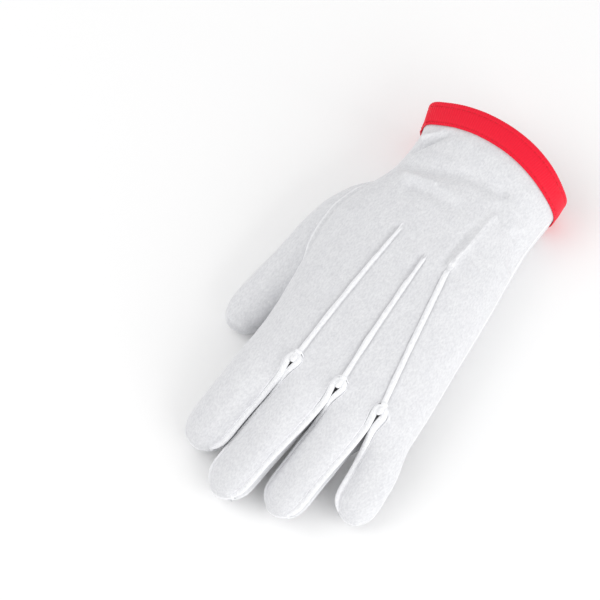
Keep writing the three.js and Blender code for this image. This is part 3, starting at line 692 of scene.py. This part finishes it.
def cotton_material():
    """White brushed cotton: a fine nap along the fingers, mottled and specked, with painted shade in creases
    and highlight on ridges.
    """
    if "brushed_cotton" in bpy.data.materials:
        return bpy.data.materials["brushed_cotton"]
    settings = bpy.context.scene.glove_cloth
    material = bpy.data.materials.new("brushed_cotton")
    material.use_nodes = True
    tree = material.node_tree
    link = tree.links.new
    shader = tree.nodes["Principled BSDF"]
    shader.inputs["Roughness"].default_value = 0.92
    shader.inputs["Specular IOR Level"].default_value = 0.25
    shader.inputs["Sheen Weight"].default_value = 0.3
    shader.inputs["Sheen Roughness"].default_value = 0.55
    place = add_node(tree, "ShaderNodeTexCoord")
    laid = add_node(tree, "ShaderNodeMapping", {"Scale": (1, 0.5, 1)})
    mottle = add_node(tree, "ShaderNodeTexNoise", {"Scale": 1100, "Detail": 4, "Roughness": 0.65})
    cloud = add_node(tree, "ShaderNodeTexNoise", {"Scale": 160, "Detail": 2, "Roughness": 0.5})
    nap = add_node(
        tree, "ShaderNodeTexNoise", {"Scale": 2400, "Detail": 3, "Roughness": 0.7, "Distortion": 0.4}
    )
    specks = add_node(tree, "ShaderNodeTexNoise", {"Scale": 1300, "Detail": 1})
    hollow = add_node(tree, "ShaderNodeAttribute", attribute_name="hollow")
    red, green, blue = settings.colour
    tint = add_ramp(
        tree, (0.3, (red * 0.83, green * 0.83, blue * 0.84, 1)), (0.66, (red, green, blue, 1))
    )
    clouded = add_node(tree, "ShaderNodeMixRGB", {"Fac": 1}, blend_type="MULTIPLY")
    clouds = add_ramp(tree, (0.3, (0.965, 0.965, 0.97, 1)), (0.6, (1, 1, 1, 1)))
    fleck = (min(red * 1.13, 1), min(green * 1.13, 1), 1, 1)
    speckled = add_node(tree, "ShaderNodeMixRGB", {"Color2": fleck})
    bright = add_ramp(tree, (0.68, (0, 0, 0, 1)), (0.8, (1, 1, 1, 1)))
    # Painted shade and highlight: flat cloth goes to middle grey, creases darker, raised ridges to full
    # colour
    crease_shaded = add_node(tree, "ShaderNodeMixRGB", {"Fac": 1}, blend_type="MULTIPLY")
    middle_grey = (0.83, 0.83, 0.835, 1)
    creases = add_ramp(
        tree, (0.34, (1, 1, 1, 1)), (0.95, (0.54, 0.54, 0.55, 1)), (0.44, middle_grey), (0.52, middle_grey)
    )
    coarse = add_node(tree, "ShaderNodeBump", {"Strength": 0.45, "Distance": 0.0004})
    fine = add_node(tree, "ShaderNodeBump", {"Strength": 0.6, "Distance": 0.00012})
    link(place.outputs["Object"], laid.inputs["Vector"])
    for texture in (mottle, nap, specks):
        link(laid.outputs["Vector"], texture.inputs["Vector"])
    link(place.outputs["Object"], cloud.inputs["Vector"])
    link(mottle.outputs["Fac"], tint.inputs["Fac"])
    link(cloud.outputs["Fac"], clouds.inputs["Fac"])
    link(tint.outputs["Color"], clouded.inputs["Color1"])
    link(clouds.outputs["Color"], clouded.inputs["Color2"])
    link(specks.outputs["Fac"], bright.inputs["Fac"])
    link(bright.outputs["Color"], speckled.inputs["Fac"])
    link(clouded.outputs["Color"], speckled.inputs["Color1"])
    link(hollow.outputs["Fac"], creases.inputs["Fac"])
    link(speckled.outputs["Color"], crease_shaded.inputs["Color1"])
    link(creases.outputs["Color"], crease_shaded.inputs["Color2"])
    link(crease_shaded.outputs["Color"], shader.inputs["Base Color"])
    link(mottle.outputs["Fac"], coarse.inputs["Height"])
    link(nap.outputs["Fac"], fine.inputs["Height"])
    link(coarse.outputs["Normal"], fine.inputs["Normal"])
    link(fine.outputs["Normal"], shader.inputs["Normal"])
    return material


def ribbon_material():
    """Red grosgrain: threads across the modelled ribs, painted darker in the grooves as shade, and a slight
    change of depth along the band.
    """
    settings = bpy.context.scene.glove_ribbon
    material = bpy.data.materials.new("red_grosgrain")
    material.use_nodes = True
    tree = material.node_tree
    link = tree.links.new
    shader = tree.nodes["Principled BSDF"]
    shader.inputs["Roughness"].default_value = 0.5
    shader.inputs["Specular IOR Level"].default_value = 0.25
    shader.inputs["Sheen Weight"].default_value = 0.1
    shader.inputs["Sheen Roughness"].default_value = 0.4
    place = add_node(tree, "ShaderNodeUVMap", uv_map="along_ribbon")
    wave = {"Scale": 0.314 / (RIB_PITCH * MM), "Distortion": 0.3, "Detail": 1}
    ribs = add_node(tree, "ShaderNodeTexWave", wave, bands_direction="X")
    around = add_node(tree, "ShaderNodeTexCoord")
    cloud = add_node(tree, "ShaderNodeTexNoise", {"Scale": 90, "Detail": 2})
    thread = add_node(tree, "ShaderNodeTexNoise", {"Scale": 2600, "Detail": 2})
    red, green, blue = settings.colour
    # Painted shade: darker red in the grooves between the ribs, full colour on their crests
    tint = add_ramp(tree, (0.2, (red * 0.88, green * 0.6, blue * 0.8, 1)), (0.8, (red, green, blue, 1)))
    deep = add_node(tree, "ShaderNodeMixRGB", {"Color2": (red * 0.9, green, blue, 1)})
    bump = add_node(tree, "ShaderNodeBump", {"Strength": 0.5, "Distance": 0.0001})
    grain = add_node(tree, "ShaderNodeBump", {"Strength": 0.3, "Distance": 0.00006})
    link(place.outputs["UV"], ribs.inputs["Vector"])
    for texture in (cloud, thread):
        link(around.outputs["Object"], texture.inputs["Vector"])
    link(ribs.outputs["Fac"], tint.inputs["Fac"])
    link(cloud.outputs["Fac"], deep.inputs["Fac"])
    link(tint.outputs["Color"], deep.inputs["Color1"])
    link(deep.outputs["Color"], shader.inputs["Base Color"])
    link(ribs.outputs["Fac"], bump.inputs["Height"])
    link(thread.outputs["Fac"], grain.inputs["Height"])
    link(bump.outputs["Normal"], grain.inputs["Normal"])
    link(grain.outputs["Normal"], shader.inputs["Normal"])
    return material


def thread_material():
    """Red sewing thread with its twist."""
    settings = bpy.context.scene.glove_ribbon
    material = bpy.data.materials.new("red_thread")
    material.use_nodes = True
    tree = material.node_tree
    link = tree.links.new
    shader = tree.nodes["Principled BSDF"]
    shader.inputs["Roughness"].default_value = 0.6
    place = add_node(tree, "ShaderNodeTexCoord")
    twist = add_node(tree, "ShaderNodeTexNoise", {"Scale": 3000, "Detail": 2})
    red, green, blue = settings.colour
    tint = add_ramp(tree, (0, (red * 0.6, green * 0.5, blue * 0.6, 1)), (1, (red * 0.85, green, blue, 1)))
    bump = add_node(tree, "ShaderNodeBump", {"Strength": 0.4, "Distance": 0.0001})
    link(place.outputs["Object"], twist.inputs["Vector"])
    link(twist.outputs["Fac"], tint.inputs["Fac"])
    link(twist.outputs["Fac"], bump.inputs["Height"])
    link(tint.outputs["Color"], shader.inputs["Base Color"])
    link(bump.outputs["Normal"], shader.inputs["Normal"])
    return material


class GLOVE_OT_back_panel(bpy.types.Operator):
    """Make the back of the hand with its three raised points"""

    bl_idname = "glove.back_panel"
    bl_label = "Back panel"

    def execute(self, context):
        cloth = context.scene.glove_cloth
        bm = wall_skin("back_panel", Vector((8, 40, 46)) * MM)
        split_long_quads(bm)
        crease_valleys(bm)
        piece = refined("back_cloth", bm)
        shape_cloth(piece, folded=True)
        roll_welt(piece)
        mark_shade_and_highlight(piece)
        thicken(piece, cloth.thickness)
        dress(piece, cotton_material(), WHITE_SLOT, "back_panel")
        return {"FINISHED"}


class GLOVE_OT_palm_panel(bpy.types.Operator):
    """Make the palm side of the hand"""

    bl_idname = "glove.palm_panel"
    bl_label = "Palm panel"

    def execute(self, context):
        cloth = context.scene.glove_cloth
        bm = wall_skin("palm_panel", Vector((8, 45, 0)) * MM)
        split_long_quads(bm)
        piece = refined("palm_cloth", bm)
        shape_cloth(piece, folded=False)
        sew_in(piece)
        mark_shade_and_highlight(piece)
        thicken(piece, cloth.thickness)
        dress(piece, cotton_material(), WHITE_SLOT, "palm_panel")
        return {"FINISHED"}


class GLOVE_OT_fourchettes(bpy.types.Operator):
    """Make the strips between the fingers, rolled over at the seam with the back panel"""

    bl_idname = "glove.fourchettes"
    bl_label = "Fourchettes"

    def execute(self, context):
        cloth = context.scene.glove_cloth
        back = edge_tree(bpy.data.objects["back_cloth"])
        for name in FOURCHETTES:
            low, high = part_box(name)
            seed = Vector(((low.x + high.x) / 2, high.y, (low.z + high.z) / 2))
            bm = wall_skin(name, seed)
            split_long_quads(bm)
            piece = refined(name.replace("fourchette", "strip"), bm)
            bm = bmesh.new()
            bm.from_mesh(piece.data)
            near = {v for v in bm.verts if v.is_boundary and back.find(v.co)[2] < ROLL_NEAR_BACK}
            edges = [e for e in bm.edges if e.is_boundary and e.verts[0] in near and e.verts[1] in near]
            rest = [e for e in bm.edges if e.is_boundary and e not in set(edges)]
            sides = ROLL_SIDES[name]
            roll_edge(bm, edges, cloth.roll, ROLL_TURN, ROLL_FLATNESS, ROLL_STEPS, ROLL_TAPER, sides)
            turn_down(bm, rest)
            bm.to_mesh(piece.data)
            bm.free()
            mark_shade_and_highlight(piece)
            thicken(piece, cloth.thickness * STRIP_THICKNESS_SHARE)
            dress(piece, cotton_material(), WHITE_SLOT, name)
        return {"FINISHED"}


class GLOVE_OT_thumb(bpy.types.Operator):
    """Make the set-in thumb"""

    bl_idname = "glove.thumb"
    bl_label = "Thumb"

    def execute(self, context):
        cloth = context.scene.glove_cloth
        piece = refined("thumb_cloth", thumb_skin())
        shape_cloth(piece, folded=False)
        sew_in(piece)
        mark_shade_and_highlight(piece)
        thicken(piece, cloth.thickness)
        dress(piece, cotton_material(), WHITE_SLOT, "thumb")
        return {"FINISHED"}


class GLOVE_OT_point_ends(bpy.types.Operator):
    """Make the small knots of cloth in which the raised points end, inside the loops between the fingers"""

    bl_idname = "glove.point_ends"
    bl_label = "Ends of the points"

    def execute(self, context):
        bm = bmesh.new()
        for name in FOURCHETTES:
            strip = bpy.data.objects[name.replace("fourchette", "strip")].data
            far = max(vert.co.y for vert in strip.vertices)
            loop = [v.co for v in strip.vertices if v.co.y > far - LOOP_LENGTH and v.co.z > NUB_ABOVE]
            middle = (min(co.x for co in loop) + max(co.x for co in loop)) / 2
            top = max(co.z for co in loop)
            for lengths, back, down in (NUB, POINT_FOOT):
                place = Matrix.Translation((middle, far - back * MM, top - down * MM))
                size = Matrix.Diagonal((*(length * MM for length in lengths), 1))
                made = bmesh.ops.create_icosphere(bm, subdivisions=3, radius=0.5, matrix=place @ size)
                for vert in made["verts"]:
                    vert.co.z += noise.noise(vert.co / NUB_GRAIN) * NUB_ROUGHNESS
        mesh = bpy.data.meshes.new("point_ends")
        bm.to_mesh(mesh)
        bm.free()
        piece = bpy.data.objects.new("point_ends", mesh)
        context.scene.collection.objects.link(piece)
        mark_shade_and_highlight(piece)
        dress(piece, cotton_material(), WHITE_SLOT)
        return {"FINISHED"}


def cuff_rim():
    """Places and outward directions of the cloth's edge at the cuff, once round from the little finger."""
    found = []
    for name in ("back_cloth", "palm_cloth"):
        mesh = bpy.data.objects[name].data
        rim = mesh.attributes["rim"].data
        marked = [v for v, mark in zip(mesh.vertices, rim) if mark.value > RIM_MARK]
        found += [(v.co.copy(), v.normal.copy()) for v in marked]
    middle = sum((co for co, _ in found), Vector()) / len(found)
    found.sort(key=lambda item: math.atan2(item[0].z - middle.z, item[0].x - middle.x))
    return found


def even_ring(found, count, smoothing):
    """The rim as so many even steps, with its unevenness smoothed away."""
    loop = found + found[:1]
    lengths = [0.0]
    for (before, _), (after, _) in zip(loop, loop[1:]):
        lengths.append(lengths[-1] + (after - before).length)
    ring = []
    i = 0
    for step in range(count):
        goal = lengths[-1] * step / count
        while lengths[i + 1] < goal:
            i += 1
        share = (goal - lengths[i]) / max(lengths[i + 1] - lengths[i], MERGE)
        ring.append((loop[i][0].lerp(loop[i + 1][0], share), loop[i][1].lerp(loop[i + 1][1], share)))
    for _ in range(smoothing):
        ring = [
            tuple((ring[i - 1][k] + ring[i][k] * 2 + ring[(i + 1) % count][k]) / 4 for k in (0, 1))
            for i in range(count)
        ]
    return ring, lengths[-1]


def ribbon_section(width):
    """Places across the ribbon: how far down from the cuff's edge, and how far out and up, in millimetres."""
    scale = width / MM / RIBBON_ACROSS[-1]
    section = []
    for across in RIBBON_ACROSS:
        groove = sum(math.exp(-(((across - row) / STITCH_GROOVE_WIDTH) ** 2)) for row in STITCH_ROWS)
        bulge = RIBBON_BULGE * math.sin(math.pi * across / RIBBON_ACROSS[-1])
        out = RIBBON_OUT + bulge - STITCH_GROOVE * groove
        section.append((width / MM - across * scale, out, 0.0))
    half = (RIBBON_OUT - RIBBON_IN) / 2
    for step in range(1, FOLD_STEPS):
        angle = math.pi * step / FOLD_STEPS
        section.append((0.0, RIBBON_IN + half + half * math.cos(angle), half * math.sin(angle)))
    for step in range(INSIDE_STEPS + 1):
        section.append((width / MM * step / INSIDE_STEPS, RIBBON_IN, 0.0))
    return section


class GLOVE_OT_cuff_ribbon(bpy.types.Operator):
    """Make the ribbon folded over the cuff's edge, with its ribs and its two rows of stitches"""

    bl_idname = "glove.cuff_ribbon"
    bl_label = "Cuff ribbon"

    def execute(self, context):
        settings = context.scene.glove_ribbon
        found = cuff_rim()
        _, around = even_ring(found, RIM_STEPS, 0)
        ribs = round(around / MM / RIB_PITCH)
        count = ribs * STATIONS_A_RIB
        ring, around = even_ring(found, count, RING_SMOOTHING)
        pitch = around / MM / count
        shown = context.evaluated_depsgraph_get()
        trees = [BVHTree.FromObject(bpy.data.objects[name], shown) for name in ("back_cloth", "palm_cloth")]
        stations = []
        for i, (edge, normal) in enumerate(ring):
            along = (ring[(i + 1) % count][0] - ring[i - 1][0]).normalized()
            out = (normal - along * normal.dot(along)).normalized()
            down = out.cross(along)
            if down.y > 0:
                down.negate()
            below = edge + down * settings.width
            spots = [tree.find_nearest(below)[0] for tree in trees]
            foot = min(spots, key=lambda spot: (spot - below).length)
            stations.append([edge, foot, out])
        for _ in range(FOOT_SMOOTHING):
            after = stations[1:] + stations[:1]
            before = stations[-1:] + stations[:-1]
            stations = [
                [(a + b * 2 + c) / 4 for a, b, c in zip(*three)] for three in zip(before, stations, after)
            ]
        section = ribbon_section(settings.width)
        lap = round(LAP_MM / pitch)
        total = count + lap
        bm = bmesh.new()
        last = len(section) - 1
        bmesh.ops.create_grid(bm, x_segments=total - 1, y_segments=last, size=0.5, calc_uvs=False)
        uv = bm.loops.layers.uv.new("along_ribbon")
        grid = {}
        for vert in bm.verts:
            grid[vert] = (round((vert.co.x + 0.5) * (total - 1)), round((vert.co.y + 0.5) * last))
        start = count - lap // 2
        for vert, (i, j) in grid.items():
            edge, foot, out = stations[(start + i) % count]
            out = out.normalized()
            down_mm, out_mm, up_mm = section[j]
            down = foot - edge
            rib = RIB_HEIGHT * math.cos(2 * math.pi * i / STATIONS_A_RIB)
            lift = LAP_OVER * smooth((i - count) * pitch / LAP_RAMP_MM + 1) * (1 if out_mm > 0 else -1)
            spot = Vector((i * pitch / RIBBON_WAVE_LENGTH, j / RIBBON_WAVE_ROWS, 2.5))
            wave = RIBBON_WAVE * noise.noise(spot)
            vert.co = edge + down * (down_mm * MM / settings.width)
            raised = up_mm + abs(lift) * (up_mm > 0)
            vert.co += (out * (out_mm + rib + lift + wave) - down.normalized() * raised) * MM
            vert.co.z = max(vert.co.z, LOWEST)
        for face in bm.faces:
            for loop in face.loops:
                i, j = grid[loop.vert]
                loop[uv].uv = (i * pitch * MM, j / len(section))
        bmesh.ops.recalc_face_normals(bm, faces=bm.faces)
        probe = max(bm.faces, key=lambda face: face.calc_center_median().z)
        if probe.normal.z < 0:
            bmesh.ops.reverse_faces(bm, faces=bm.faces)
        mesh = bpy.data.meshes.new("ribbon_band")
        bm.to_mesh(mesh)
        bm.free()
        piece = bpy.data.objects.new("ribbon_band", mesh)
        context.scene.collection.objects.link(piece)
        thicken(piece, RIBBON_CLOTH * MM)
        dress(piece, ribbon_material(), RED_SLOT, "cuff_ribbon")
        self.stitches(context, stations, start, lap, pitch)
        return {"FINISHED"}

    def stitches(self, context, stations, start, lap, pitch):
        """Two rows of red stitches that lie in the ribbon's grooves."""
        settings = context.scene.glove_ribbon
        count = len(stations)
        bm = bmesh.new()
        scale = settings.width / MM / RIBBON_ACROSS[-1]
        steps = int((count + lap) * pitch / STITCH_PITCH)
        for row in STITCH_ROWS:
            down_mm = settings.width / MM - row * scale
            for step in range(steps):
                i = round((step + 0.5) * STITCH_PITCH / pitch)
                edge, foot, out = stations[(start + i) % count]
                after = stations[(start + i + 2) % count]
                out = out.normalized()
                down = foot - edge
                lift = LAP_OVER * smooth((i - count) * pitch / LAP_RAMP_MM + 1)
                place = edge + down * (down_mm * MM / settings.width)
                place += out * (RIBBON_OUT + STITCH_RAISE + lift) * MM
                along = (after[0] - edge).normalized()
                side = out.cross(along).normalized()
                turn = Matrix((along, side, out)).transposed().to_4x4()
                size = Matrix.Diagonal((STITCH_LENGTH * MM, STITCH_WIDTH * MM, STITCH_WIDTH * MM, 1))
                bmesh.ops.create_uvsphere(
                    bm, u_segments=6, v_segments=6, radius=0.5, matrix=Matrix.Translation(place) @ turn @ size
                )
        mesh = bpy.data.meshes.new("ribbon_stitches")
        bm.to_mesh(mesh)
        bm.free()
        piece = bpy.data.objects.new("ribbon_stitches", mesh)
        context.scene.collection.objects.link(piece)
        dress(piece, thread_material(), RED_SLOT)


class GLOVE_OT_stage(bpy.types.Operator):
    """Set up the floor, the lights and the camera"""

    bl_idname = "glove.stage"
    bl_label = "Floor, lights and camera"

    def execute(self, context):
        scene = context.scene
        settings = scene.glove_stage
        turn, tilt = math.radians(AZIMUTH), math.radians(ELEVATION)
        right = Vector((math.cos(turn), math.sin(turn), 0))
        back = Vector((math.sin(turn) * math.cos(tilt), -math.cos(turn) * math.cos(tilt), math.sin(tilt)))
        up = back.cross(right)
        aim = (right * LOOK_RIGHT_MM + up * LOOK_UP_MM) * MM
        distance = PICTURE_WIDTH_MM * MM * LENS / SENSOR
        lens = bpy.data.cameras.new("camera")
        lens.lens = LENS
        lens.sensor_width = SENSOR
        lens.clip_start, lens.clip_end = 0.05, 20
        camera = bpy.data.objects.new("camera", lens)
        camera.location = aim + back * distance
        camera.rotation_euler = Matrix((right, up, back)).transposed().to_euler()
        scene.collection.objects.link(camera)
        scene.camera = camera

        bm = bmesh.new()
        bmesh.ops.create_grid(bm, x_segments=1, y_segments=1, size=FLOOR_SIZE)
        mesh = bpy.data.meshes.new("floor")
        bm.to_mesh(mesh)
        bm.free()
        floor = bpy.data.objects.new("floor", mesh)
        scene.collection.objects.link(floor)
        paint = bpy.data.materials.new("floor_paint")
        paint.use_nodes = True
        shader = paint.node_tree.nodes["Principled BSDF"]
        shader.inputs["Base Color"].default_value = (*settings.floor, 1)
        shader.inputs["Roughness"].default_value = 0.9
        mesh.materials.append(paint)

        world = bpy.data.worlds.new("studio")
        world.use_nodes = True
        world.node_tree.nodes["Background"].inputs["Color"].default_value = (1, 1, 1, 1)
        world.node_tree.nodes["Background"].inputs["Strength"].default_value = settings.sky
        scene.world = world
        for name, side, power, size in (
            ("key", right * 0.85 - up * 0.55 + back * 0.85, settings.key, 1.3),
            ("fill", -right * 0.8 + up * 0.5 + back * 0.8, settings.fill, 1.2),
        ):
            light = bpy.data.lights.new(name, "AREA")
            light.energy = power
            light.size = size
            lamp = bpy.data.objects.new(name, light)
            lamp.location = aim + side.normalized() * LAMP_DISTANCE
            lamp.rotation_euler = side.to_track_quat("Z", "Y").to_euler()
            scene.collection.objects.link(lamp)
        scene.view_settings.view_transform = "Standard"
        return {"FINISHED"}


class GLOVE_PT_sidebar(bpy.types.Panel):
    """Lists the glove's steps and settings"""

    bl_idname = "GLOVE_PT_sidebar"
    bl_label = "Glove"
    bl_space_type = "VIEW_3D"
    bl_region_type = "UI"
    bl_category = "Glove"

    def draw(self, context):
        column = self.layout.column()
        for settings in (context.scene.glove_cloth, context.scene.glove_ribbon, context.scene.glove_stage):
            for key in settings.bl_rna.properties.keys():
                if key not in ("rna_type", "name"):
                    column.prop(settings, key)
        for operator in OPERATORS:
            column.operator(operator.bl_idname)


SETTINGS = {"glove_cloth": GloveCloth, "glove_ribbon": GloveRibbon, "glove_stage": GloveStage}
OPERATORS = (
    GLOVE_OT_back_panel,
    GLOVE_OT_palm_panel,
    GLOVE_OT_fourchettes,
    GLOVE_OT_thumb,
    GLOVE_OT_point_ends,
    GLOVE_OT_cuff_ribbon,
    GLOVE_OT_stage,
)


def register():
    for settings in SETTINGS.values():
        bpy.utils.register_class(settings)
    for operator in OPERATORS:
        bpy.utils.register_class(operator)
    bpy.utils.register_class(GLOVE_PT_sidebar)
    for key, settings in SETTINGS.items():
        setattr(bpy.types.Scene, key, bpy.props.PointerProperty(type=settings))


def unregister():
    for key in SETTINGS:
        delattr(bpy.types.Scene, key)
    bpy.utils.unregister_class(GLOVE_PT_sidebar)
    for operator in reversed(OPERATORS):
        bpy.utils.unregister_class(operator)
    for settings in reversed(SETTINGS.values()):
        bpy.utils.unregister_class(settings)


def main():
    register()
    for name in STARTUP_OBJECTS:
        if name in bpy.data.objects:
            bpy.data.objects.remove(bpy.data.objects[name])
    for operator in OPERATORS:
        group, name = operator.bl_idname.split(".")
        getattr(getattr(bpy.ops, group), name)()


if __name__ == "__main__":
    main()
